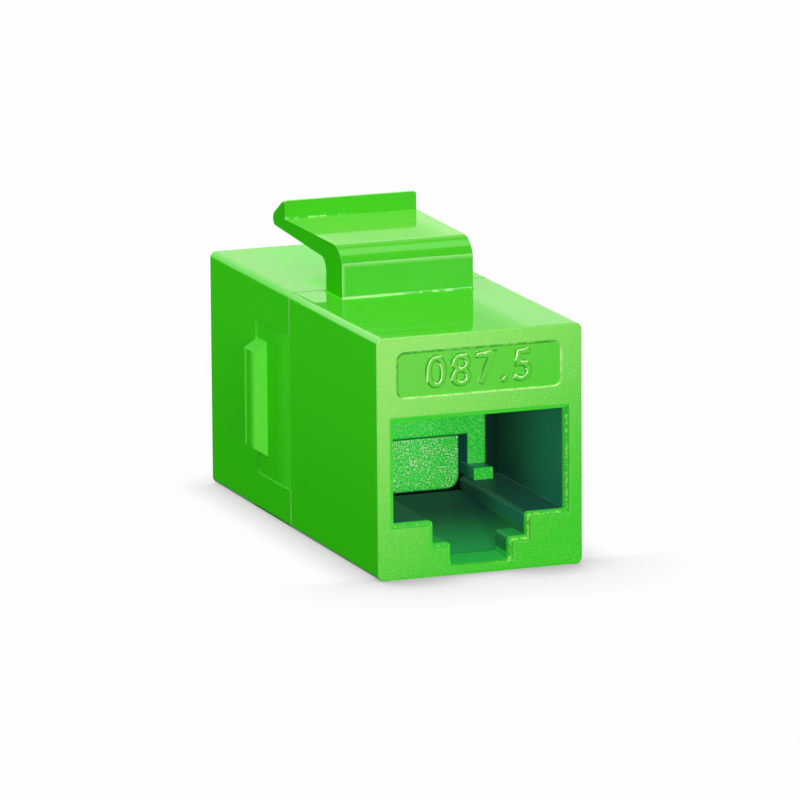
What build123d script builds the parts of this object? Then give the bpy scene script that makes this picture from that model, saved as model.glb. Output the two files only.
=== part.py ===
"""Inline keystone coupler for two eight-way modular plugs, in millimetres.

The front socket faces -Y, the rear socket faces +Y, +Z is up. The origin is on
the underside, midway between the two faces.
"""
import os
from build123d import *

os.makedirs("parts", exist_ok=True)

# Outer body
body_width = 14.5
body_height = 16.34
body_length = 32.7
parting_offset = 0.4
edge_radius = 0.45
face_edge_radius = 0.12
seam_chamfer = 0.08

# Plug socket, measured behind its lead-in bevel
socket_width = 12.04
socket_height = 6.84
shelf_height = 3.78
socket_depth = 12.2
lead_in = 0.34
ridge_radius = 0.3
ridge_face_radius = 0.06

# Latch way below the plug
shoulder_width = 6.54
shoulder_floor = 2.2
neck_width = 4.06
neck_floor = 0.61
neck_rise = 0.19
lip_length = 2.6
catch_width = 9.2
catch_front_floor = 0.7
catch_rear_floor = 2.8
catch_front_roof = 2.27
catch_rear_roof = 2.97

# Hollow behind the sockets, which holds the carriers and the board
core_width = 12.6
core_floor = 1.2
core_top = 13.1
tongue_length = 1.35
tongue_root = 2.0
tongue_wall = 0.45
tongue_top = 10.4
fit_gap = 0.04

# Label field on the front face
label_width = 11.58
label_height = 3.04
label_centre_z = 13.72
label_radius = 0.45
label_depth = 0.1

# Keystone groove across the underside
groove_width = 11.0
groove_length = 1.9
groove_depth = 0.8
groove_distance = 9.6

# Latch arm on the front housing, placed from the front face
arm_width = 9.4
arm_tip_width = 9.62
post_length = 3.05
post_setback = 0.4
crease_rise = 2.43
bend_rise = 3.49
bend_run = 1.65
arm_length = 13.2
arm_climb = 0.07
arm_root_thickness = 1.25
arm_tip_thickness = 0.72
inner_bend_radius = 0.9
lip_back = 2.3
lip_height = 1.25
lip_top_length = 0.3
lip_corner_radius = 0.2
nose_radius = 0.4
root_radius = 0.15

# Side recesses and stop ribs on the rear housing
recess_length = 6.75
recess_bottom = 2.65
recess_top = 13.4
recess_depth = 0.15
recess_radius = 0.35
rib_length = 2.0
rib_proud = 0.8
rib_bottom = 4.06
rib_top = 12.0
rib_bevel = 0.62
rib_edge_radius = 0.3
rib_small_radius = 0.1

# Contact carriers
carrier_gap = 0.05
plate_front = 2.4
plate_thickness = 1.98
block_width = 10.4
block_edge_radius = 0.35
block_bottom = 4.4
block_reach = 0.2
band_bottom = 6.55
band_edge_radius = 0.35
window_width = 7.46
panel_width = 6.72
panel_step = 0.4
panel_bottom = 2.82
panel_radius = 1.0
panel_edge_radius = 0.3
foot_inset = 0.09
foot_width = 1.39
foot_height = 0.84
foot_reach = 1.4
foot_length = 2.6
foot_radius = 0.15

# Circuit board
board_thickness = 1.6
board_gap = 0.1

# Contact springs
contact_count = 8
contact_pitch = 1.02
contact_width = 0.4
contact_thickness = 0.35
contact_run_drop = 1.25
contact_setback = 1.1
contact_turn = 0.85
contact_turn_radius = 0.36
contact_tip_inset = 0.9
contact_tip_z = 8.45
slot_width = 0.62
slot_lead = 0.5
comb_depth = 1.4
comb_bottom = 8.15
tunnel_gap = 0.01

# Derived places
face_y = body_length / 2
socket_top = shelf_height + socket_height
plate_top = socket_top + plate_thickness
core_depth = face_y + parting_offset
arm_front = core_depth - post_setback - post_length
run_z = plate_top - contact_run_drop
board_front = face_y - board_thickness / 2
block_front = socket_depth - block_reach
panel_front = block_front + panel_step
panel_top = band_bottom + panel_edge_radius
foot_front = block_front - foot_reach
contact_front = plate_front + contact_setback
contact_tip = block_front + contact_tip_inset
slot_front = contact_front - slot_lead
side_x = body_width / 2
board_bottom = core_floor + fit_gap + tongue_wall
tongue_inner_width = core_width - 2 * fit_gap - 2 * tongue_wall

front_face = Plane.XZ.offset(face_y)


def from_face(distance):
    """Y of a place this far behind the front face."""
    return distance - face_y


def behind_face(distance):
    """Plane parallel to the front face, this far behind it."""
    return front_face.offset(-distance)


def mouth(grow, corner_radius):
    """Outline of the stepped opening: plug, latch shoulders and latch neck."""
    shelf_z = shelf_height - grow
    shoulder_z = shoulder_floor - grow
    with BuildSketch() as outline:
        with BuildLine():
            Polyline(
                (0, socket_top + grow),
                (socket_width / 2 + grow, socket_top + grow),
                (socket_width / 2 + grow, shelf_z),
                (shoulder_width / 2 + grow, shelf_z),
                (shoulder_width / 2 + grow, shoulder_z),
                (neck_width / 2 + grow, shoulder_z),
                (neck_width / 2 + grow, neck_floor + lead_in - grow),
                (0, neck_floor + lead_in - grow),
            )
            mirror(about=Plane.YZ)
        make_face()
        for half_width, corner_z in ((shoulder_width / 2, shelf_z), (neck_width / 2, shoulder_z)):
            for side in (-1, 1):
                ridge = (side * (half_width + grow), corner_z)
                fillet(outline.vertices().sort_by_distance(ridge)[0], corner_radius)
    return outline.sketch


# Space that one socket takes out of its housing
with BuildPart() as socket_space:
    with BuildSketch(front_face):
        add(mouth(lead_in, ridge_face_radius))
    with BuildSketch(behind_face(lead_in)):
        add(mouth(0, ridge_radius))
    loft(ruled=True)
    with BuildSketch(behind_face(lead_in)):
        add(mouth(0, ridge_radius))
    extrude(amount=lead_in - lip_length)
    # Plug cavity, open between the two rounded shelf edges
    with BuildSketch(behind_face(lead_in)) as cavity_outline:
        with Locations((0, shelf_height)):
            Rectangle(socket_width, socket_height, align=(Align.CENTER, Align.MIN))
            Rectangle(shoulder_width, 2 * ridge_radius, align=(Align.CENTER, Align.MAX))
        for side in (-1, 1):
            shelf_edge = (side * shoulder_width / 2, shelf_height)
            fillet(cavity_outline.vertices().sort_by_distance(shelf_edge)[0], ridge_radius)
    extrude(amount=lead_in - socket_depth)
    # Neck floor, rising to the rear of the lip
    with BuildSketch(Plane.YZ):
        with BuildLine():
            Polyline(
                (from_face(0), neck_floor),
                (from_face(lip_length), neck_floor + neck_rise),
                (from_face(lip_length), shoulder_floor),
                (from_face(0), shoulder_floor),
                close=True,
            )
        make_face()
    extrude(amount=neck_width / 2, both=True)
    # Channel between the two shelves
    with BuildSketch(Plane.YZ):
        with BuildLine():
            Polyline(
                (from_face(lip_length), catch_front_roof),
                (from_face(socket_depth), catch_rear_roof),
                (from_face(socket_depth), shelf_height),
                (from_face(lip_length), shelf_height),
                close=True,
            )
        make_face()
    extrude(amount=shoulder_width / 2, both=True)
    # Catch space behind the lip, wider than the channel
    with BuildSketch(Plane.YZ):
        with BuildLine():
            Polyline(
                (from_face(lip_length), catch_front_floor),
                (from_face(socket_depth), catch_rear_floor),
                (from_face(socket_depth), catch_rear_roof),
                (from_face(lip_length), catch_front_roof),
                close=True,
            )
        make_face()
    extrude(amount=catch_width / 2, both=True)
    # Pocket above the plug for the carrier's plate
    with BuildSketch(behind_face(plate_front)):
        with Locations((0, socket_top + (plate_thickness + carrier_gap) / 2)):
            Rectangle(core_width, plate_thickness + carrier_gap)
    extrude(amount=plate_front - socket_depth)
    # Core hollow, from the back of the socket to the middle
    with BuildSketch(behind_face(socket_depth)):
        with Locations((0, (core_floor + core_top) / 2)):
            Rectangle(core_width, core_top - core_floor)
    extrude(amount=socket_depth - core_depth)


def body_half(start, length, toward_front):
    """Half of the outer body, rounded at its face and bevelled at the seam."""
    with BuildPart() as half:
        with BuildSketch(Plane.XZ.offset(-start)):
            with Locations((0, body_height / 2)):
                RectangleRounded(body_width, body_height, edge_radius)
        extrude(amount=-length)
        ends = half.faces().filter_by(Axis.Y).sort_by(Axis.Y)
        face_end = ends[0] if toward_front else ends[-1]
        seam_end = ends[-1] if toward_front else ends[0]
        fillet(face_end.outer_wire().edges(), face_edge_radius)
        chamfer(seam_end.outer_wire().edges(), seam_chamfer)
    return half.part


# Latch arm, moulded on the front housing: post, bend, blade, thumb lip and nose
with BuildPart() as latch_arm:
    arm_root = body_height - edge_radius
    crease = (from_face(arm_front), body_height + crease_rise)
    blade_start = (from_face(arm_front + bend_run), body_height + bend_rise)
    blade_end = (from_face(arm_front + arm_length - lip_back), body_height + bend_rise + arm_climb)
    lip_top = blade_end[1] + lip_height
    nose_y = from_face(arm_front + arm_length)
    post_back_y = from_face(arm_front + post_length)
    with BuildSketch(Plane.YZ) as arm_profile:
        with BuildLine():
            Line((crease[0], arm_root), crease)
            TangentArc(blade_start, crease, tangent=(-1, 0))
            Polyline(
                blade_start,
                blade_end,
                (blade_end[0], lip_top),
                (blade_end[0] + lip_top_length, lip_top),
                (nose_y, blade_end[1]),
                (nose_y, blade_end[1] - arm_tip_thickness),
                (post_back_y, blade_start[1] - arm_root_thickness),
                (post_back_y, arm_root),
                (crease[0], arm_root),
            )
        make_face()
        inner_bend = arm_profile.vertices().sort_by_distance(
            (post_back_y, blade_start[1] - arm_root_thickness)
        )[0]
        fillet(inner_bend, inner_bend_radius)
        fillet(arm_profile.vertices().group_by(Axis.X)[-1], nose_radius)
    extrude(amount=arm_tip_width / 2, both=True)
    # Plan of the arm, whose blade spreads toward the nose
    with BuildSketch(Plane.XY.offset(arm_root)):
        with BuildLine():
            Polyline(
                (0, crease[0]),
                (arm_width / 2, crease[0]),
                (arm_width / 2, blade_start[0]),
                (arm_tip_width / 2, nose_y),
                (0, nose_y),
            )
            mirror(about=Plane.YZ)
        make_face()
    extrude(amount=lip_top - arm_root, mode=Mode.INTERSECT)
    lip_ends = latch_arm.faces().sort_by(Axis.Z)[-1].edges().sort_by(Axis.X)
    fillet([lip_ends[0], lip_ends[-1]], lip_corner_radius)

# Front housing
with BuildPart() as front_housing:
    add(body_half(-face_y, core_depth, True))
    add(latch_arm.part)
    post_edges = front_housing.edges().filter_by_position(
        Axis.Z, body_height - root_radius, body_height + root_radius
    )
    post_edges = post_edges.filter_by_position(
        Axis.Y, crease[0] - root_radius, post_back_y + root_radius
    )
    fillet(post_edges, root_radius)
    # Socket, core hollow, label field and underside groove
    add(socket_space.part, mode=Mode.SUBTRACT)
    with BuildSketch(front_face):
        with Locations((0, label_centre_z)):
            RectangleRounded(label_width, label_height, label_radius)
    extrude(amount=-label_depth, mode=Mode.SUBTRACT)
    with BuildSketch(Plane.XY):
        with Locations((0, from_face(groove_distance))):
            Rectangle(groove_width, groove_length)
    extrude(amount=groove_depth, mode=Mode.SUBTRACT)

front_housing.part.label = "front_housing"
export_step(front_housing.part, "parts/front_housing.step")


# Rear housing, with its locating tongue, side recesses and stop ribs
with BuildPart() as side_recess:
    with BuildSketch(Plane.YZ.offset(side_x - recess_depth)) as recess_outline:
        with Locations((parting_offset, recess_bottom)):
            Rectangle(recess_length, recess_top - recess_bottom, align=(Align.MIN, Align.MIN))
        fillet(recess_outline.vertices().group_by(Axis.X)[-1], recess_radius)
    extrude(amount=recess_depth + rib_proud)

with BuildPart() as stop_rib:
    rib_root = side_x - recess_depth - rib_small_radius
    rib_face = side_x + rib_proud
    with BuildSketch(Plane.XZ.offset(-(parting_offset + recess_length + rib_small_radius))):
        with BuildLine():
            Polyline(
                (rib_root, rib_bottom),
                (side_x - recess_depth, rib_bottom),
                (rib_face, rib_bottom + rib_bevel),
                (rib_face, rib_top - rib_bevel),
                (side_x - recess_depth, rib_top),
                (rib_root, rib_top),
                close=True,
            )
        make_face()
    extrude(amount=rib_length)
    outer_edges = stop_rib.edges().filter_by(Axis.Z).group_by(Axis.X)[-1].sort_by(Axis.Y)
    fillet(outer_edges[0], rib_edge_radius)
    fillet(outer_edges[-1], rib_small_radius)

with BuildPart() as rear_housing:
    add(body_half(parting_offset, face_y - parting_offset, False))
    add(mirror(socket_space.part, about=Plane.XZ), mode=Mode.SUBTRACT)
    add(side_recess.part, mode=Mode.SUBTRACT)
    add(mirror(side_recess.part, about=Plane.YZ), mode=Mode.SUBTRACT)
    add(stop_rib.part)
    add(mirror(stop_rib.part, about=Plane.YZ))
    # Tongue that enters the core hollow of the front housing, and its root
    for tongue_gap, reach in ((fit_gap, tongue_length), (-tongue_wall, -tongue_root)):
        with BuildSketch(Plane.XZ.offset(-parting_offset)):
            with Locations((0, tongue_top)):
                Rectangle(
                    core_width - 2 * tongue_gap,
                    tongue_top - core_floor - tongue_gap,
                    align=(Align.CENTER, Align.MAX),
                )
                Rectangle(
                    tongue_inner_width,
                    tongue_top - board_bottom,
                    align=(Align.CENTER, Align.MAX),
                    mode=Mode.SUBTRACT,
                )
        extrude(amount=reach)
rear_housing.part.label = "rear_housing"
export_step(rear_housing.part, "parts/rear_housing.step")


# Rounded panel that closes the window in the carrier's block
with BuildPart() as front_panel:
    with BuildSketch(behind_face(panel_front)) as panel_outline:
        with Locations((0, panel_bottom)):
            Rectangle(panel_width, panel_top - panel_bottom, align=(Align.CENTER, Align.MIN))
        fillet(panel_outline.vertices().group_by(Axis.Y)[0], panel_radius)
    extrude(amount=panel_front - board_front)
    fillet(front_panel.faces().sort_by(Axis.Y)[0].edges(), panel_edge_radius)

# Contact carrier: plate above the plug, block behind it, comb and feet
with BuildPart() as front_contact_carrier:
    with BuildSketch(behind_face(plate_front + carrier_gap)):
        with Locations((0, socket_top + plate_thickness / 2)):
            Rectangle(core_width - 2 * carrier_gap, plate_thickness)
    extrude(amount=plate_front + carrier_gap - socket_depth)
    # Block with a window in its face, and the rounded panel inside the window
    with BuildSketch(behind_face(block_front)):
        with Locations((0, block_bottom)):
            Rectangle(block_width, plate_top - block_bottom, align=(Align.CENTER, Align.MIN))
    extrude(amount=block_front - board_front)
    upright_edges = front_contact_carrier.edges().filter_by(Axis.Z)
    upright_edges = upright_edges.filter_by_position(
        Axis.Y, from_face(block_front) - carrier_gap, from_face(block_front) + carrier_gap
    )
    fillet(upright_edges, block_edge_radius)
    with BuildSketch(behind_face(block_front)):
        with Locations((0, block_bottom)):
            Rectangle(window_width, band_bottom - block_bottom, align=(Align.CENTER, Align.MIN))
    extrude(amount=block_front - board_front, mode=Mode.SUBTRACT)
    band_edge = front_contact_carrier.edges().filter_by(Axis.X).sort_by_distance(
        (0, from_face(block_front), band_bottom)
    )[0]
    fillet(band_edge, band_edge_radius)
    add(front_panel.part)
    # Feet that stand on the two shelves of the socket
    with BuildSketch(behind_face(foot_front)) as foot_outline:
        for side in (-1, 1):
            foot_x = side * (window_width / 2 - foot_inset + foot_width / 2)
            with Locations((foot_x, shelf_height + foot_height / 2)):
                Rectangle(foot_width, foot_height)
        fillet(foot_outline.vertices().group_by(Axis.Y)[-1], foot_radius)
    extrude(amount=-foot_length)
    # Slots for the springs, tunnels for their tails and the comb for their tips
    slot_height = run_z + contact_thickness / 2 - socket_top
    with BuildSketch(behind_face(slot_front)):
        with Locations((0, socket_top)):
            with GridLocations(contact_pitch, 0, contact_count, 1):
                Rectangle(slot_width, slot_height, align=(Align.CENTER, Align.MIN))
    extrude(amount=slot_front - block_front - comb_depth, mode=Mode.SUBTRACT)
    with BuildSketch(behind_face(block_front)):
        with Locations((0, comb_bottom)):
            with GridLocations(contact_pitch, 0, contact_count, 1):
                Rectangle(slot_width, socket_top - comb_bottom, align=(Align.CENTER, Align.MIN))
    extrude(amount=-comb_depth, mode=Mode.SUBTRACT)
    with BuildSketch(behind_face(block_front)):
        with Locations((0, run_z)):
            with GridLocations(contact_pitch, 0, contact_count, 1):
                Rectangle(contact_width + 2 * tunnel_gap, contact_thickness)
    extrude(amount=block_front - board_front, mode=Mode.SUBTRACT)
front_contact_carrier.part.label = "front_contact_carrier"
export_step(front_contact_carrier.part, "parts/front_contact_carrier.step")

rear_contact_carrier = mirror(front_contact_carrier.part, about=Plane.XZ)
rear_contact_carrier.label = "rear_contact_carrier"
export_step(rear_contact_carrier, "parts/rear_contact_carrier.step")


# Circuit board between the two carriers
with BuildPart() as circuit_board:
    board_height = plate_top - board_bottom - board_gap
    with BuildSketch(behind_face(board_front)):
        with Locations((0, board_bottom)):
            Rectangle(tongue_inner_width - 2 * board_gap, board_height, align=(Align.CENTER, Align.MIN))
    extrude(amount=-board_thickness)
circuit_board.part.label = "circuit_board"
export_step(circuit_board.part, "parts/circuit_board.step")


# Contact springs: tail at the board, run along the plate, turn, sloping blade
for number in range(1, contact_count + 1):
    contact_x = (number - (contact_count + 1) / 2) * contact_pitch
    with BuildPart() as front_contact:
        with BuildLine(Plane.YZ.offset(contact_x)):
            spring_path = FilletPolyline(
                (from_face(board_front), run_z),
                (from_face(contact_front), run_z),
                (from_face(contact_front), run_z - contact_turn),
                (from_face(contact_tip), contact_tip_z),
                radius=contact_turn_radius,
            )
        with BuildSketch(Plane(spring_path @ 0, x_dir=(1, 0, 0), z_dir=spring_path % 0)):
            Rectangle(contact_width, contact_thickness)
        sweep()
    front_contact.part.label = f"front_contact_{number}"
    export_step(front_contact.part, f"parts/front_contact_{number}.step")
    rear_contact = mirror(front_contact.part, about=Plane.XZ)
    rear_contact.label = f"rear_contact_{number}"
    export_step(rear_contact, f"parts/rear_contact_{number}.step")
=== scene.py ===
"""Looks of the inline coupler: plastics, label marks, camera, light and floor."""
import math

import bpy
from mathutils import Matrix, Vector


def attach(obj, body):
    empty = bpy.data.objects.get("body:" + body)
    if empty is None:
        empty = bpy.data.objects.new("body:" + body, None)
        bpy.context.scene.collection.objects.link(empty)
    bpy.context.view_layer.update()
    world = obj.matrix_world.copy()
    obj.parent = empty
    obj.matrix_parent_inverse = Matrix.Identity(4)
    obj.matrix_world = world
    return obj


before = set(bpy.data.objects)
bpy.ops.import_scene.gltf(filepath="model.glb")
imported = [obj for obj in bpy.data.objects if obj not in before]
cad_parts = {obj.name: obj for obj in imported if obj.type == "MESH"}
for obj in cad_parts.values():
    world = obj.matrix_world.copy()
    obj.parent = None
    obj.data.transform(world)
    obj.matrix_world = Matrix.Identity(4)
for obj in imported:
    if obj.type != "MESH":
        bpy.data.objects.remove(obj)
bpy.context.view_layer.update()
MM = 0.001

# Body, in metres: ends at plus and minus FACE_Y, seam at SEAM_Y with a thin painted highlight
# past SEAM_SIDE, and the start of the rounding between top and sides
FACE_Y = 16.35 * MM
BODY_TOP = 16.34 * MM
SEAM_Y = 0.4 * MM
SEAM_SIDE = 7 * MM
UPPER_EDGE_X = 6.75 * MM
UPPER_EDGE_Z = 15.8 * MM
# Socket: half width and top of its mouth, lead-in chamfer, neck and low channel
MOUTH_HALF = 6.04 * MM
MOUTH_TOP = 10.64 * MM
MOUTH_BORDER = 0.45 * MM
LEAD_IN = 0.34 * MM
NECK_LENGTH = 2.6 * MM
NECK_TOP = 1.2 * MM
CHANNEL_TOP = 2.9 * MM
DARK_DEPTH = 10 * MM
# Label field
LABEL_Z = 13.72 * MM
LABEL_HALF_WIDTH = 5.79 * MM
LABEL_HALF_HEIGHT = 1.52 * MM
LABEL_DEPTH = 0.1 * MM
LABEL_CORNER = 0.55 * MM
LABEL_BORDER = 0.25 * MM
# Panel behind the plug
PANEL_HALF = 3.36 * MM
PANEL_TOP = 6.55 * MM
# Latch arm: crease at its bend, blade above it, thumb lip
ARM_HALF = 4.7 * MM
CREASE_Z = 18.77 * MM
BLADE_Z = 19.57 * MM
LIP_FOOT = 19.3 * MM
LIP_EDGE = 19.9 * MM
# Side recess with its stop rib
RECESS_X = 7.1 * MM
RECESS_END = 8.0 * MM
RIB_FOOT = 7.3 * MM
RIB_BACK = 7.2 * MM
RIB_FRONT = 5.3 * MM
RIB_LOW = 4.06 * MM
RIB_HIGH = 12.0 * MM

# Ramps on the part: places where a mask starts and ends
ACROSS_FACE = (-3 * MM, 28 * MM)
UP_SIDE = (0, 15 * MM)
ARM_LEFT = (1 * MM, -2 * MM)
TOP_LEFT = (-6.3 * MM, -1.5 * MM)
TOP_RIGHT = (1 * MM, 3 * MM)
POST_LEFT = (-5.5 * MM, -4 * MM)
POST_RIGHT = (4 * MM, 3 * MM)
POST_BACK = (7 * MM, 3 * MM)
TOP_REAR = (0, 2 * MM)
MOUTH_RIGHT = (1 * MM, 2 * MM)
ALONG_MOUTH = (-2 * MM, 2 * MM)
UPPER_EDGE_BACK = (-8 * MM, 3 * MM)
# Ramps of the parts of the normal
TURNED_SIDE = (0.5, 0.9)
FLAT_SIDE = (0.93, 0.99)
FLAT_TOP = (0.997, 0.9995)
FLAT_FRONT = (-0.9, -0.99)
TOWARD_END = (0.3, 0.6)
AWAY_FROM_LAMPS = (0.2, 0.5)
SHARP_EDGE = (0.99, 0.85)

# How far each light or shade goes over to its colour
ARM_BORDER_SHARE = 0.5
ARM_FOOT_SHARE = 0.9
LIP_FOOT_SHARE = 0.7
RIB_FRONT_SHARE = 0.7
RIB_BACK_SHARE = 0.9
RIB_TOP_SHARE = 0.6
RECESS_LIGHT_SHARE = 0.22
RECESS_WALL_SHARE = 0.3
BLADE_SHARE = 0.28
GREENER_SHARE = 0.5
CHANNEL_SIDE_SHARE = 0.5
LIGHT_RIM_SHARE = 0.8
PAINTED_SHADE_SHARE = 0.85
SEAM_SHARE = 0.6
SPARKLING_SHARE = 0.6
ARM_FOOT_SPECKS_SHARE = 0.6
LOW_RECESS_SHARE = 0.95
# Reflections: the share left beside the arm, and the loss by its post and on the rear edges
MIRRORING_AT_ARM = 0.53
POST_DIMMING = 0.7
UPPER_EDGE_DIMMING = 0.65
# Widths of the rounding that the edges seem to have
HOUSING_EDGE = 0.07 * MM
CARRIER_EDGE = 0.06 * MM
# Sizes of the specks
END_SPECK = 0.07 * MM
BROKEN_SPECK = 0.35 * MM
ARM_FOOT_SPECK = 0.6 * MM
LIP_FOOT_SPECK = 0.4 * MM
CHAMFER_SPECK = 0.22 * MM
PANEL_SPECK = 0.11 * MM
PANEL_CLUSTER = 0.7 * MM

HOUSING_PAINT = {
    "top": (0.062, 0.56, 0.016, 1),
    "side": (0.036, 0.555, 0.006, 1),
    # painted shade: the sides darker low down, and the rib's upper facet
    "shaded_side": (0.026, 0.465, 0.003, 1),
    # painted light on the rib's front end and along its outer edges
    "rib": (0.14, 0.78, 0.055, 1),
    "end": (0.031, 0.62, 0.004, 1),
    # painted sheen on the end faces toward the upper left, painted reflection on the blade
    "pale": (0.3, 0.83, 0.13, 1),
    # painted highlights: edges, seam, the arm's border and feet, glints on the end faces
    "highlight_line": (0.5, 0.88, 0.33, 1),
    "side_highlight_line": (0.25, 0.85, 0.11, 1),
    # painted highlights on the numerals' ridges and the label's rim
    "spark": (0.7, 0.97, 0.4, 1),
    # painted glints along the mouth's right edge and chamfer
    "edge_glints": (0.5, 0.95, 0.13, 1),
    # painted shade on the numerals' flanks and the label's rim
    "painted_shade": (0.012, 0.38, 0.01, 1),
    # painted light: recess floor, the top where it mirrors less, chamfer faces turned from the
    # lamps
    "bevel": (0.09, 0.95, 0.05, 1),
    "step": (0.03, 0.5, 0.03, 1),
    # socket: a shaded copy of the plastic, with painted light on the channel and neck floors
    "inner": (0.007, 0.14, 0.075, 1),
    "channel": (0.012, 0.27, 0.058, 1),
    "neck": (0.015, 0.4, 0.05, 1),
    # darkest painted shade: the socket's depth and the recess's lower wall
    "deep_shade": (0.002, 0.04, 0.024, 1),
}
ROUGHNESS = {
    "top": 0.04, "lip": 0.06, "fillet": 0.15, "arm_front": 0.25, "side": 0.35, "rib": 0.35,
    "satin": 0.38, "socket": 0.5, "carrier": 0.3,
}
GLINT = {
    "plain": 0.5, "rib": 0.05, "side": 0.003, "chamfer": 0.12, "unlit": 0.0, "satin": 0.3,
    "top": 0.08, "socket": 0.2,
}
# strength of the painted highlight lines along edges
OUTLINE = {"plain": 0.32, "side": 0.7, "socket": 0.08, "lip_share": 0.2}
# carrier paint: the panel's colour, painted highlights for its specks, painted shade for its
# sides and pits
CARRIER_PAINT = {
    "panel": (0.02, 0.86, 0.045, 1),
    "spark": (0.85, 1.0, 0.7, 1),
    "painted_shade": (0.005, 0.1, 0.06, 1),
}


class Shading:
    """Maker of the nodes of one tree. Values are numbers or outputs of other nodes."""

    def __init__(self, tree):
        self.tree = tree

    def node(self, kind, inputs=None, **settings):
        """New node, with values or links for its inputs."""
        made = self.tree.nodes.new(kind)
        for name, value in settings.items():
            setattr(made, name, value)
        for name, value in (inputs or {}).items():
            if isinstance(value, bpy.types.NodeSocket):
                self.tree.links.new(value, made.inputs[name])
            else:
                made.inputs[name].default_value = value
        return made

    def calculate(self, operation, *values):
        """Output of a math node."""
        inputs = dict(enumerate(values))
        return self.node("ShaderNodeMath", inputs, operation=operation).outputs[0]

    def product(self, *values):
        """Product of several values."""
        total = values[0]
        for value in values[1:]:
            total = self.calculate("MULTIPLY", total, value)
        return total

    def largest(self, *values):
        """Largest of several values."""
        most = values[0]
        for value in values[1:]:
            most = self.calculate("MAXIMUM", most, value)
        return most

    def absolute(self, value):
        """Value without its sign."""
        return self.calculate("ABSOLUTE", value)

    def inverse(self, mask):
        """Mask of all that another mask leaves out."""
        return self.calculate("SUBTRACT", 1.0, mask)

    def between(self, value, low, high, start=0.0, end=1.0):
        """Value mapped smoothly from low..high to start..end."""
        made = self.node(
            "ShaderNodeMapRange",
            {"Value": value, "From Min": low, "From Max": high, "To Min": start, "To Max": end},
            interpolation_type="SMOOTHSTEP",
        )
        return made.outputs["Result"]

    def above(self, value, edge, fade):
        """Mask that rises from 0 at an edge to 1 past its fade."""
        return self.between(value, edge, edge + fade)

    def under(self, value, edge, fade):
        """Mask that falls to 0 at an edge from 1 before its fade."""
        return self.between(value, edge, edge - fade)

    def dot(self, vector, other):
        """Dot product of two vectors."""
        made = self.node("ShaderNodeVectorMath", {0: vector, 1: other}, operation="DOT_PRODUCT")
        return made.outputs["Value"]

    def parts(self, vector):
        """X, Y and Z of a vector."""
        return self.node("ShaderNodeSeparateXYZ", {0: vector}).outputs

    def mix_values(self, factor, low, high):
        """Blend of two numbers."""
        made = self.node("ShaderNodeMix", {0: factor, 2: low, 3: high}, data_type="FLOAT")
        return made.outputs[0]

    def mix_vectors(self, factor, low, high):
        """Blend of two vectors."""
        made = self.node("ShaderNodeMix", {0: factor, 4: low, 5: high}, data_type="VECTOR")
        return made.outputs[1]

    def mix_colours(self, factor, low, high):
        """Blend of two colours."""
        made = self.node("ShaderNodeMix", {0: factor, 6: low, 7: high}, data_type="RGBA")
        return made.outputs[2]

    def mix_shaders(self, factor, low, high):
        """Blend of two shader nodes."""
        return self.node(
            "ShaderNodeMixShader", {0: factor, 1: low.outputs[0], 2: high.outputs[0]},
        )

    def coloured(self, base, *layers):
        """Base colour with each mask's colour laid over it in turn."""
        for mask, colour in layers:
            base = self.mix_colours(mask, base, colour)
        return base

    def valued(self, base, *layers):
        """Base number with each mask's number laid over it in turn."""
        for mask, value in layers:
            base = self.mix_values(mask, base, value)
        return base


class Surface(Shading):
    """Shading of a plastic piece, with the place and the facing of each spot on it."""

    def __init__(self, tree, edge_width):
        super().__init__(tree)
        coordinate = self.node("ShaderNodeTexCoord").outputs
        self.vector = coordinate["Object"]
        place, facing = self.parts(self.vector), self.parts(coordinate["Normal"])
        self.x, self.y, self.z = place["X"], place["Y"], place["Z"]
        self.facing_x, self.facing_y, self.facing_z = facing["X"], facing["Y"], facing["Z"]
        self.side = self.absolute(self.x)
        self.endwise = self.absolute(self.facing_y)
        self.rounded = self.node("ShaderNodeBevel", {"Radius": edge_width}, samples=8).outputs[0]

    def specks(self, size, low, high):
        """Mask of fine bright specks, as on a spark-eroded surface."""
        grain = self.node(
            "ShaderNodeTexNoise",
            {"Vector": self.vector, "Scale": 1 / size, "Detail": 1.0, "Roughness": 0.6},
        )
        return self.between(grain.outputs["Fac"], low, high)


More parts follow.
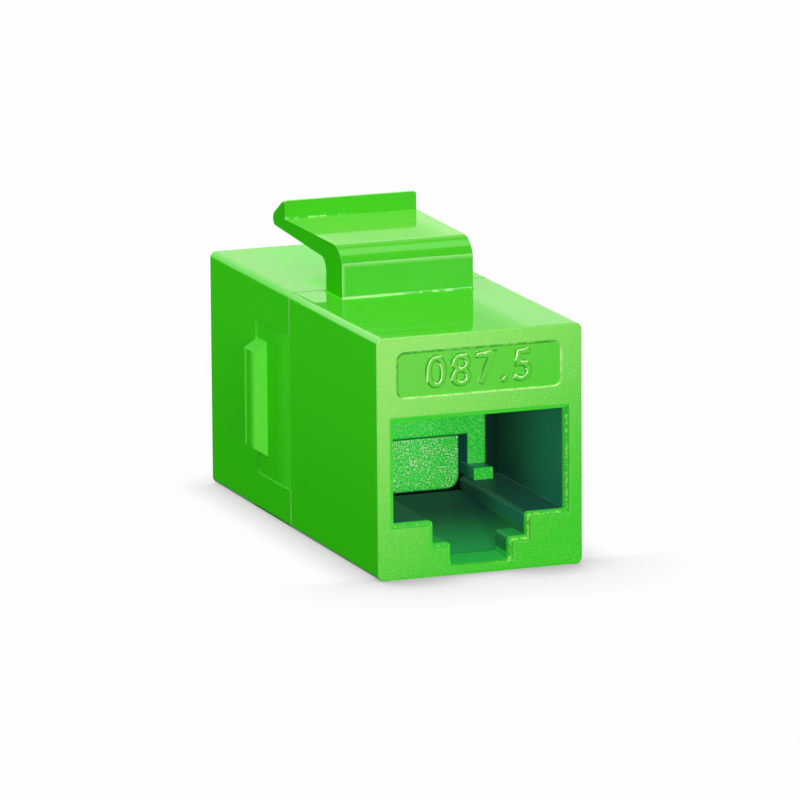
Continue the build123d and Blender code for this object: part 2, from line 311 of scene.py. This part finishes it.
class Housing(Surface):
    """Shading of a housing half: masks of its regions, and the looks made from them."""

    def __init__(self, tree, paint):
        super().__init__(tree, HOUSING_EDGE)
        self.paint = paint
        self.reach = self.absolute(self.y)
        self.facing_side = self.absolute(self.facing_x)
        self.flat = self.node("ShaderNodeNewGeometry").outputs["Normal"]
        self.lines = self.between(self.dot(self.rounded, self.flat), *SHARP_EDGE)
        self.broken = self.specks(BROKEN_SPECK, 0.35, 0.6)
        self.sidewise = self.between(self.facing_side, *TURNED_SIDE)
        self.flat_side = self.between(self.facing_side, *FLAT_SIDE)
        self.flat_top = self.between(self.facing_z, *FLAT_TOP)
        self.mark_mouth()
        self.mark_label()
        self.mark_arm()
        self.mark_recess()
        self.mark_mirroring()

    def mark_mouth(self):
        """Mark the socket's mouth, its chamfer and its inside, and the end face round it."""
        self.in_mouth = self.product(
            self.under(self.side, MOUTH_HALF + MOUTH_BORDER, 0.1 * MM),
            self.under(self.z, MOUTH_TOP + MOUTH_BORDER, 0.1 * MM),
        )
        behind_face = self.product(
            self.in_mouth, self.under(self.reach, FACE_Y - 0.01 * MM, 0.02 * MM),
        )
        self.inside = self.product(
            behind_face, self.under(self.reach, FACE_Y - LEAD_IN + 0.02 * MM, 0.32 * MM),
        )
        self.chamfer = self.product(behind_face, self.inverse(self.inside))
        self.end_face = self.product(
            self.above(self.reach, FACE_Y - 0.2 * MM, 0.08 * MM),
            self.between(self.endwise, *TOWARD_END), self.inverse(self.inside),
        )

    def mark_label(self):
        """Mark the label field, and where painted highlight and painted shade go in it."""
        rise = self.calculate("SUBTRACT", self.z, LABEL_Z)
        from_label = self.absolute(rise)

        def field(border):
            """Mask of the label field, wider by a border on all sides."""
            return self.product(
                self.under(self.side, LABEL_HALF_WIDTH + border, 0.02 * MM),
                self.under(from_label, LABEL_HALF_HEIGHT + border, 0.02 * MM),
                self.under(self.y, 0.3 * MM - FACE_Y, 0.1 * MM),
            )

        middle = field(-LABEL_BORDER)
        sunk = self.above(self.y, 0.02 * MM - FACE_Y, 0.02 * MM)
        self.label = self.largest(middle, self.product(field(0.02 * MM), sunk))
        self.satin = self.product(self.end_face, self.inverse(self.label))
        # Numerals: painted highlight on slopes to the upper left, painted shade on steep ones
        lean = self.dot(self.rounded, (-0.6, 0, 0.8))
        ridge = self.product(self.between(lean, 0.12, 0.2), self.between(lean, 0.42, 0.3))
        steep = self.between(self.absolute(self.parts(self.rounded)["Y"]), 0.95, 0.8)
        # Rim of the field: painted shade at its left and top, painted highlight at its right and
        # bottom
        from_corner = self.node("ShaderNodeCombineXYZ", {
            0: self.calculate("SUBTRACT", self.side, LABEL_HALF_WIDTH - LABEL_CORNER),
            1: self.calculate("SUBTRACT", from_label, LABEL_HALF_HEIGHT - LABEL_CORNER),
        }).outputs[0]
        from_corner = self.node(
            "ShaderNodeVectorMath", {0: from_corner, 1: (0, 0, 0)}, operation="MAXIMUM",
        ).outputs[0]
        outward = self.node("ShaderNodeVectorMath", {0: from_corner}, operation="LENGTH")
        from_rim = self.absolute(
            self.calculate("SUBTRACT", outward.outputs["Value"], LABEL_CORNER)
        )
        slant = self.calculate(
            "SUBTRACT", self.product(rise, LABEL_HALF_WIDTH / LABEL_HALF_HEIGHT), self.x,
        )
        rim = self.product(field(0.3 * MM), self.mix_values(self.broken, 0.4, 1.0))
        light_rim = self.product(
            rim, self.under(from_rim, 0.08 * MM, 0.06 * MM),
            self.between(slant, 1 * MM, -1 * MM), LIGHT_RIM_SHARE,
        )
        shaded_rim = self.product(
            rim, self.under(from_rim, 0.12 * MM, 0.06 * MM),
            self.between(slant, -1 * MM, 1 * MM),
        )
        self.bright = self.largest(self.product(middle, ridge), light_rim)
        self.shaded_marks = self.largest(self.product(middle, steep), shaded_rim)

    def mark_arm(self):
        """Mark the latch arm's front, the foot of its post and its thumb lip."""
        self.arm_front = self.product(
            self.between(self.facing_y, *FLAT_FRONT), self.above(self.z, BODY_TOP, 0.3 * MM),
            self.under(self.z, CREASE_Z + 0.02 * MM, 0.02 * MM),
        )
        self.post_foot = self.product(
            self.above(self.side, ARM_HALF - 0.2 * MM, 0.15 * MM),
            self.under(self.side, ARM_HALF + 0.4 * MM, 0.1 * MM),
            self.above(self.z, BODY_TOP - 0.1 * MM, 0.05 * MM),
            self.under(self.z, BODY_TOP + 0.5 * MM, 0.1 * MM),
            self.under(self.reach, FACE_Y - 1 * MM, 0.1 * MM),
        )
        self.on_lip = self.above(self.z, LIP_FOOT - 0.1 * MM, 0.1 * MM)

    def mark_recess(self):
        """Mark the stop rib and the recess that it stands in."""
        self.past_recess_floor = self.above(self.side, RECESS_X - 0.1 * MM, 0.05 * MM)
        self.along_recess = self.under(self.reach, RECESS_END, 0.1 * MM)
        self.behind_seam = self.above(self.y, SEAM_Y, 0.1 * MM)
        self.on_rib = self.product(
            self.above(self.side, RECESS_X, 0.05 * MM), self.along_recess,
            self.above(self.z, RIB_LOW - 0.1 * MM, 0.1 * MM),
            self.under(self.z, RIB_HIGH + 0.1 * MM, 0.1 * MM),
        )
        self.recess_wall = self.product(
            self.past_recess_floor, self.along_recess, self.behind_seam,
            self.under(self.z, RIB_LOW, 0.1 * MM), self.inverse(self.flat_side),
        )

    def mark_mirroring(self):
        """Mark how strongly the top mirrors: less toward the arm and beside its post."""
        across = self.largest(
            self.between(self.x, *TOP_LEFT, 1.0, MIRRORING_AT_ARM),
            self.between(self.x, *TOP_RIGHT),
        )
        near_post = self.product(
            self.between(self.x, *POST_LEFT), self.between(self.x, *POST_RIGHT),
            self.between(self.y, *POST_BACK, 0.0, POST_DIMMING),
        )
        self.mirroring = self.product(across, self.inverse(near_post))

    def arm_border(self):
        """Painted highlight: a soft light border on the front of the latch arm, below its crease
        and at its left.
        """
        border = self.largest(
            self.above(self.z, CREASE_Z - 0.35 * MM, 0.35 * MM),
            self.under(self.x, 0.3 * MM - ARM_HALF, 0.3 * MM),
        )
        return self.product(self.arm_front, border, ARM_BORDER_SHARE)

    def foot_lines(self):
        """Painted highlight lines at the foot of the arm and of its lip, broken where they fade.
        """
        leftward = self.between(self.x, *ARM_LEFT)
        arm_foot = self.product(
            self.between(self.facing_y, -0.1, -0.4),
            self.under(self.side, ARM_HALF + 0.1 * MM, 0.1 * MM),
            self.above(self.z, BODY_TOP, 0.02 * MM),
            self.under(self.z, BODY_TOP + 0.16 * MM, 0.08 * MM),
            self.mix_values(
                leftward,
                self.product(self.specks(ARM_FOOT_SPECK, 0.45, 0.55), ARM_FOOT_SPECKS_SHARE),
                ARM_FOOT_SHARE,
            ),
        )
        lip_foot = self.product(
            self.between(self.facing_y, *FLAT_FRONT),
            self.under(self.z, LIP_EDGE + 0.14 * MM, 0.06 * MM), leftward, LIP_FOOT_SHARE,
            self.specks(LIP_FOOT_SPECK, 0.45, 0.6),
            self.above(self.z, LIP_EDGE - 0.04 * MM, 0.04 * MM),
        )
        return self.largest(arm_foot, lip_foot)

    def rib_light(self):
        """Painted light on the rib's front end and along the two edges of its outer face."""
        front_end = self.product(self.on_rib, self.between(self.endwise, 0.1, 0.6))
        edges = self.largest(
            self.between(self.y, RIB_BACK - 0.5 * MM, RIB_BACK, 0.0, RIB_BACK_SHARE),
            self.between(
                self.y, RIB_FRONT + 0.9 * MM, RIB_FRONT + 0.1 * MM, 0.0, RIB_FRONT_SHARE,
            ),
        )
        outer_face = self.product(
            self.above(self.side, RIB_FOOT, 0.05 * MM), self.flat_side, edges,
        )
        return self.largest(front_end, outer_face)

    def recess_light(self):
        """Painted light on the recess floor, stronger toward the seam."""
        return self.product(
            self.flat_side, self.past_recess_floor,
            self.under(self.side, RECESS_X + 0.1 * MM, 0.05 * MM), self.behind_seam,
            self.between(
                self.y, SEAM_Y + 3.5 * MM, SEAM_Y + 0.3 * MM, 0.0, RECESS_LIGHT_SHARE,
            ),
        )

    def outside_colour(self):
        """Colour of the outside: end faces paler toward the upper left as painted sheen, sides
        deeper below as painted shade.
        """
        paint = self.paint
        # painted sheen: end faces paler toward the upper left
        sheen_ramp = self.product(
            self.between(self.dot(self.vector, (-0.85, 0, 1.25)), *ACROSS_FACE),
            self.mix_values(self.label, 1.0, 0.5),
        )
        # painted shade: the sides darker toward the floor
        up_wall = self.product(
            self.between(self.z, *UP_SIDE), self.under(self.z, BODY_TOP + 0.1 * MM, 0.1 * MM),
        )
        # painted shade on the rib's upper facet
        rib_top = self.product(self.on_rib, self.between(self.facing_z, 0.3, 0.6), RIB_TOP_SHARE)
        # painted reflection: the blade paler
        on_blade = self.product(
            self.above(self.z, BLADE_Z, 0.2 * MM), self.between(self.facing_z, 0.9, 0.97),
        )
        # painted light: the top greener where it mirrors less, toward the rear
        greener_top = self.product(
            self.flat_top, self.inverse(self.mirroring), GREENER_SHARE,
            self.between(self.y, *TOP_REAR),
            self.under(self.z, BODY_TOP + 0.2 * MM, 0.2 * MM),
        )
        # the end faces' spark-eroded grain, drawn as painted glints
        sparks = self.product(
            self.satin, self.specks(END_SPECK, 0.5, 0.75), self.mix_values(sheen_ramp, 0.2, 0.6),
        )
        return self.coloured(
            paint["top"],
            (self.sidewise, self.mix_colours(up_wall, paint["shaded_side"], paint["side"])),
            (
                self.largest(self.end_face, self.label),
                self.mix_colours(sheen_ramp, paint["end"], paint["pale"]),
            ),
            (self.arm_border(), paint["highlight_line"]),
            (self.foot_lines(), paint["highlight_line"]),
            (self.rib_light(), paint["rib"]),
            (rib_top, paint["shaded_side"]),
            (self.recess_light(), paint["bevel"]),
            # painted shade on the recess's lower wall
            (self.product(self.recess_wall, RECESS_WALL_SHARE), paint["deep_shade"]),
            (self.product(on_blade, BLADE_SHARE), paint["pale"]),
            (greener_top, paint["bevel"]),
            (sparks, paint["highlight_line"]),
        )

    def socket_colour(self):
        """Colour inside the socket, painted as shade: darker toward its depth, greener in
        channel and neck as painted light.
        """
        paint = self.paint
        low = self.under(self.z, CHANNEL_TOP, 0.2 * MM)
        upward = self.between(self.facing_z, 0.3, 0.8, 0.0, 0.8)
        depth = self.between(self.reach, FACE_Y - NECK_LENGTH, FACE_Y - DARK_DEPTH)
        in_neck = self.product(
            self.under(self.z, NECK_TOP, 0.1 * MM),
            self.above(self.reach, FACE_Y - NECK_LENGTH, 0.1 * MM),
        )
        return self.coloured(
            paint["inner"],
            (low, paint["channel"]),
            (self.calculate("SUBTRACT", upward, low), paint["deep_shade"]),
            (self.product(self.sidewise, low, CHANNEL_SIDE_SHARE), paint["deep_shade"]),
            (depth, paint["deep_shade"]),
            (in_neck, paint["neck"]),
        )

    def chamfer_colour(self):
        """Colour of the mouth's chamfer, brighter as painted light where it turns away from the
        lamps.
        """
        turned_away = self.largest(
            self.between(self.facing_z, -0.2, -0.5),
            self.between(self.facing_x, *AWAY_FROM_LAMPS),
        )
        return self.mix_colours(turned_away, self.paint["step"], self.paint["bevel"])

    def outline(self):
        """Strength of the thin painted highlight lines along edges and seam."""
        strength = self.valued(
            OUTLINE["plain"], (self.sidewise, OUTLINE["side"]), (self.inside, OUTLINE["socket"]),
        )
        from_seam = self.absolute(self.calculate("SUBTRACT", self.y, SEAM_Y))
        seam = self.product(
            SEAM_SHARE, self.under(from_seam, 0.13 * MM, 0.08 * MM),
            self.above(self.side, SEAM_SIDE, 0.1 * MM),
        )
        low_recess = self.product(
            self.past_recess_floor, self.above(self.y, SEAM_Y + 0.2 * MM, 0.1 * MM),
            self.along_recess, self.under(self.z, RIB_HIGH + 0.1 * MM, 0.1 * MM),
            LOW_RECESS_SHARE,
        )
        return self.product(
            self.largest(self.product(self.lines, strength), seam),
            self.inverse(self.post_foot), self.inverse(self.shaded_marks), self.inverse(low_recess),
            self.between(self.z, LIP_FOOT - 0.1 * MM, LIP_FOOT, 1.0, OUTLINE["lip_share"]),
        )

    def sparkle(self):
        """Painted glints along the right edge of the mouth and on the middle of its chamfer."""
        edge_glints = self.product(
            self.lines, 2.0, self.above(self.reach, FACE_Y - 0.2 * MM, 0.1 * MM), self.broken,
            self.between(self.x, *MOUTH_RIGHT), self.in_mouth,
        )
        mid_chamfer = FACE_Y - 0.5 * LEAD_IN
        sparkling = self.product(
            self.chamfer, SPARKLING_SHARE, self.between(self.x, *ALONG_MOUTH, 0.5, 1.0),
            self.specks(CHAMFER_SPECK, 0.4, 0.65),
            self.under(self.z, MOUTH_TOP - 0.4 * MM, 0.1 * MM),
            self.between(self.reach, FACE_Y - LEAD_IN + 0.06 * MM, mid_chamfer),
            self.between(self.reach, FACE_Y - 0.06 * MM, mid_chamfer),
            self.inverse(self.between(self.facing_x, *AWAY_FROM_LAMPS)),
        )
        return self.largest(edge_glints, sparkling)

    def colour(self):
        """Colour of the whole piece, with its painted light and shade."""
        paint = self.paint
        return self.coloured(
            self.outside_colour(),
            (self.inside, self.socket_colour()),
            (self.chamfer, self.chamfer_colour()),
            (self.product(self.shaded_marks, PAINTED_SHADE_SHARE), paint["painted_shade"]),
            (
                self.outline(),
                self.mix_colours(self.sidewise, paint["highlight_line"], paint["side_highlight_line"]),
            ),
            (self.sparkle(), paint["edge_glints"]),
            (self.bright, paint["spark"]),
        )

    def roughness(self):
        """Roughness: polished top, duller sides and arm, satin ends and socket."""
        return self.valued(
            ROUGHNESS["top"],
            (self.on_lip, ROUGHNESS["lip"]),
            (self.between(self.facing_side, 0.02, 0.15), ROUGHNESS["fillet"]),
            (self.arm_front, ROUGHNESS["arm_front"]),
            (self.flat_side, ROUGHNESS["side"]),
            (self.on_rib, ROUGHNESS["rib"]),
            (self.satin, ROUGHNESS["satin"]),
            (self.inside, ROUGHNESS["socket"]),
        )

    def glint(self):
        """Strength of the reflections."""
        upper_edge = self.product(
            self.above(self.side, UPPER_EDGE_X, 0.1 * MM),
            self.above(self.z, UPPER_EDGE_Z, 0.1 * MM),
            self.between(self.y, *UPPER_EDGE_BACK, 0.0, UPPER_EDGE_DIMMING),
        )
        foot_side = self.product(self.post_foot, self.between(self.facing_side, 0.03, 0.1))
        return self.valued(
            GLINT["plain"],
            (self.on_rib, GLINT["rib"]),
            (self.flat_side, GLINT["side"]),
            (self.chamfer, GLINT["chamfer"]),
            (self.largest(upper_edge, foot_side, self.recess_wall), GLINT["unlit"]),
            (self.satin, GLINT["satin"]),
            (self.flat_top, self.product(self.mirroring, GLINT["top"])),
            (self.inside, GLINT["socket"]),
        )

    def normal(self):
        """Normal, rounded at the edges apart from the lip and the foot of the post."""
        return self.mix_vectors(
            self.largest(self.on_lip, self.post_foot), self.rounded, self.flat,
        )


def new_material(name):
    """Empty node material with its Principled shader."""
    material = bpy.data.materials.new(name)
    material.use_nodes = True
    return material, material.node_tree, material.node_tree.nodes["Principled BSDF"]


def moulded_plastic(name, paint):
    """Glossy plastic whose end faces are satin and whose socket is painted darker inside as
    shade.
    """
    material, tree, shader = new_material(name)
    surface = Housing(tree, paint)
    tree.links.new(surface.colour(), shader.inputs["Base Color"])
    tree.links.new(surface.roughness(), shader.inputs["Roughness"])
    tree.links.new(surface.glint(), shader.inputs["Specular IOR Level"])
    tree.links.new(surface.normal(), shader.inputs["Normal"])
    return material


def sparkling_plastic(name, paint):
    """Plastic with a coarse spark texture on the panel behind the plug, drawn as painted glints
    and pits of painted shade, and darker on its sides as painted shade.
    """
    material, tree, shader = new_material(name)
    shader.inputs["Roughness"].default_value = ROUGHNESS["carrier"]
    surface = Surface(tree, CARRIER_EDGE)
    toward_end = surface.between(surface.endwise, 0.7, 0.98)
    on_panel = surface.product(
        surface.under(surface.side, PANEL_HALF + 0.1 * MM, 0.1 * MM),
        surface.under(surface.z, PANEL_TOP + 0.1 * MM, 0.1 * MM),
    )
    clusters = surface.mix_values(surface.specks(PANEL_CLUSTER, 0.35, 0.6), 0.35, 1.0)
    strength = surface.product(toward_end, surface.mix_values(on_panel, 0.2, clusters))
    # the spark texture as pits of painted shade and sparks of painted glints
    pits = surface.product(strength, surface.specks(PANEL_SPECK, 0.46, 0.36), 0.4)
    sparks = surface.product(strength, surface.specks(PANEL_SPECK, 0.53, 0.63))
    colour = surface.coloured(
        paint["painted_shade"], (toward_end, paint["panel"]), (pits, paint["painted_shade"]),
        (sparks, paint["spark"]),
    )
    tree.links.new(colour, shader.inputs["Base Color"])
    tree.links.new(surface.rounded, shader.inputs["Normal"])
    return material


def plain_material(name, colour, roughness, metallic=0.0):
    """One-colour material."""
    material, tree, shader = new_material(name)
    shader.inputs["Base Color"].default_value = colour
    shader.inputs["Roughness"].default_value = roughness
    shader.inputs["Metallic"].default_value = metallic
    return material


def toward(azimuth, elevation):
    """Unit vector from the part to a place round it, in degrees; 0, 0 is straight in front."""
    turn, rise = math.radians(azimuth), math.radians(elevation)
    return Vector((
        math.sin(turn) * math.cos(rise),
        -math.cos(turn) * math.cos(rise),
        math.sin(rise),
    ))


def open_share(shading, way_up, reach, low, power):
    """How open the floor is toward a direction, within a distance; power bends the ramp."""
    normal = shading.node("ShaderNodeCombineXYZ", dict(enumerate(way_up))).outputs[0]
    openness = shading.node(
        "ShaderNodeAmbientOcclusion", {"Distance": reach, "Normal": normal}, samples=8,
    )
    ramp = shading.node(
        "ShaderNodeMapRange",
        {"Value": openness.outputs["AO"], "From Min": low, "From Max": 1.0},
    )
    return shading.calculate("POWER", ramp.outputs["Result"], power)


def add_sun(name, azimuth, elevation, spread, energy):
    """Distant lamp, with angles in degrees."""
    lamp = bpy.data.lights.new(name, "SUN")
    lamp.energy = energy
    lamp.angle = math.radians(spread)
    lamp_object = bpy.data.objects.new(name, lamp)
    bpy.context.scene.collection.objects.link(lamp_object)
    lamp_object.rotation_euler = toward(azimuth, elevation).to_track_quat("Z", "Y").to_euler()
    return lamp


# Materials
housing = moulded_plastic("housing_plastic", HOUSING_PAINT)
carrier = sparkling_plastic("carrier_plastic", CARRIER_PAINT)
board = plain_material("board", (0.01, 0.1, 0.04, 1), 0.4)
gold = plain_material("contact_metal", (0.9, 0.66, 0.26, 1), 0.25, 1.0)

for name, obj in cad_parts.items():
    if "housing" in name:
        material = housing
    elif "carrier" in name:
        material = carrier
    elif "board" in name:
        material = board
    else:
        material = gold
    for material_slot in obj.material_slots:
        material_slot.material = material

# Raised numerals in the label field, in the part's own coordinates
NUMERALS_SUNK = 0.05 * MM
text = bpy.data.curves.new("label_numerals", "FONT")
text.body = "087.5"
text.align_x = "CENTER"
text.align_y = "CENTER"
text.size = 3.0 * MM
text.space_character = 1.16
text.extrude = 0.01 * MM
text.bevel_depth = 0.2 * MM
text.bevel_resolution = 5
text.offset = -0.1 * MM
letters = bpy.data.objects.new("letters", text)
mesh = bpy.data.meshes.new_from_object(letters)
mesh.transform(
    Matrix.Translation((0, LABEL_DEPTH - FACE_Y + NUMERALS_SUNK, LABEL_Z))
    @ Matrix.Rotation(math.pi / 2, 4, "X")
)
bpy.data.objects.remove(letters)
numerals = bpy.data.objects.new("label_numerals", mesh)
bpy.context.scene.collection.objects.link(numerals)
mesh.materials.clear()
mesh.materials.append(housing)
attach(numerals, "root")

# Floor: the camera sees a pale glow with a painted shadow, darker close to the part; it bounces
# light as a grey one
OPEN_LEVEL = 0.932
CONTACT_LEVEL = 0.58
BEFORE_FACE_LEVEL = 0.68
bpy.ops.mesh.primitive_plane_add(size=4.0)
floor = bpy.context.object
floor.name = "floor"
material = bpy.data.materials.new("floor")
material.use_nodes = True
material.node_tree.nodes.clear()
shading = Shading(material.node_tree)
# painted shadow in the floor's glow: darker at the part's foot and in front of its end face
contact = open_share(shading, toward(0, 90), 3.2 * MM, 0.35, 1.0)
from_behind = open_share(shading, toward(180, 20), 9 * MM, 0.5, 0.6)
place = shading.node("ShaderNodeTexCoord").outputs["Object"]
ahead = shading.under(shading.parts(place)["Y"], 2 * MM - FACE_Y, 2 * MM)
before_face = shading.mix_values(from_behind, BEFORE_FACE_LEVEL, 1.0)
level = shading.product(
    shading.mix_values(contact, CONTACT_LEVEL, 1.0), shading.mix_values(ahead, 1.0, before_face),
    OPEN_LEVEL,
)
lit = shading.node("ShaderNodeBsdfDiffuse", {"Color": (0.05, 0.05, 0.05, 1)})
glow = shading.node("ShaderNodeEmission", {"Color": (1, 1, 1, 1), "Strength": level})
seen = shading.node("ShaderNodeAddShader", {0: lit.outputs[0], 1: glow.outputs[0]})
bounce = shading.node("ShaderNodeBsdfDiffuse", {"Color": (0.25, 0.25, 0.25, 1)})
path = shading.node("ShaderNodeLightPath").outputs
both = shading.mix_shaders(path["Is Camera Ray"], bounce, seen)
shading.node("ShaderNodeOutputMaterial", {"Surface": both.outputs[0]})
floor.data.materials.append(material)

# Surroundings: plain light, with white boards behind and overhead for the reflections. The
# board behind starts at BOARD_LEFT, and its level goes by the height past BOARD_GRADED
BOARD_TOP = 0.47
BOARD_LEFT = (-0.62, -0.47)
BOARD_GRADED = (0.15, 0.25)
BOARD_LEVEL = 1.7
OVERHEAD_RIM = math.cos(math.radians(28))
OVERHEAD_FULL = math.cos(math.radians(25))
world = bpy.data.worlds.new("surroundings")
bpy.context.scene.world = world
world.use_nodes = True
world.node_tree.nodes.clear()
shading = Shading(world.node_tree)
coordinate = shading.node("ShaderNodeTexCoord").outputs["Generated"]
way = shading.parts(coordinate)
board_behind = shading.product(
    shading.between(way["Y"], 0.0, 0.3), shading.between(way["X"], *BOARD_LEFT),
    shading.under(way["Z"], BOARD_TOP, 0.02),
)
board_level = shading.mix_values(
    shading.between(way["X"], *BOARD_GRADED), BOARD_LEVEL,
    shading.calculate(
        "ADD", shading.between(way["Z"], 0.24, 0.3, 1.46, 1.05),
        shading.between(way["Z"], 0.38, 0.46, 0.0, 0.3),
    ),
)
overhead = shading.product(
    shading.between(shading.dot(coordinate, toward(159, 86)), OVERHEAD_RIM, OVERHEAD_FULL),
    shading.between(way["Y"], 0.15, 0.25, 2.0, 1.2),
)
level = shading.calculate("ADD", shading.mix_values(board_behind, 0.2, board_level), overhead)
mirrored = shading.node(
    "ShaderNodeBackground", {"Color": (0.97, 1.03, 0.8, 1), "Strength": level},
)
plain = shading.node("ShaderNodeBackground", {"Color": (1, 1, 1, 1), "Strength": 0.5})
white = shading.node("ShaderNodeBackground", {"Color": (1, 1, 1, 1), "Strength": 0.98})
path = shading.node("ShaderNodeLightPath").outputs
felt = shading.mix_shaders(path["Is Glossy Ray"], plain, mirrored)
all_ways = shading.mix_shaders(path["Is Camera Ray"], felt, white)
shading.node("ShaderNodeOutputWorld", {"Surface": all_ways.outputs[0]})

# Lamps; the fill lamp casts no shadow on the floor
add_sun("key_lamp", -8, 4, 10, 1.55)
add_sun("edge_lamp", 21, 2, 7, 0.3)
fill_lamp = add_sun("fill_lamp", -125, 55, 10, 2.42)
fill_lamp.use_shadow = False

# Camera
ROLL = math.radians(-0.419)
DISTANCE = 583.07 * MM
TARGET = Vector((0.543 * MM, 0.021 * MM, 8.425 * MM))
FOCAL_PIXELS = 8611.1
IMAGE_PIXELS = 800
SENSOR_WIDTH = 36.0
camera_data = bpy.data.cameras.new("camera")
camera = bpy.data.objects.new("camera", camera_data)
bpy.context.scene.collection.objects.link(camera)
bpy.context.scene.camera = camera
back = toward(-20.632, 12.003)
camera_data.sensor_width = SENSOR_WIDTH
camera_data.lens = FOCAL_PIXELS / IMAGE_PIXELS * SENSOR_WIDTH
camera_data.clip_start = 0.01
camera_data.clip_end = 20.0
turn = (-back).to_track_quat("-Z", "Y").to_matrix().to_4x4() @ Matrix.Rotation(ROLL, 4, "Z")
camera.matrix_world = Matrix.Translation(TARGET + back * DISTANCE) @ turn

bpy.context.scene.view_settings.view_transform = "Standard"
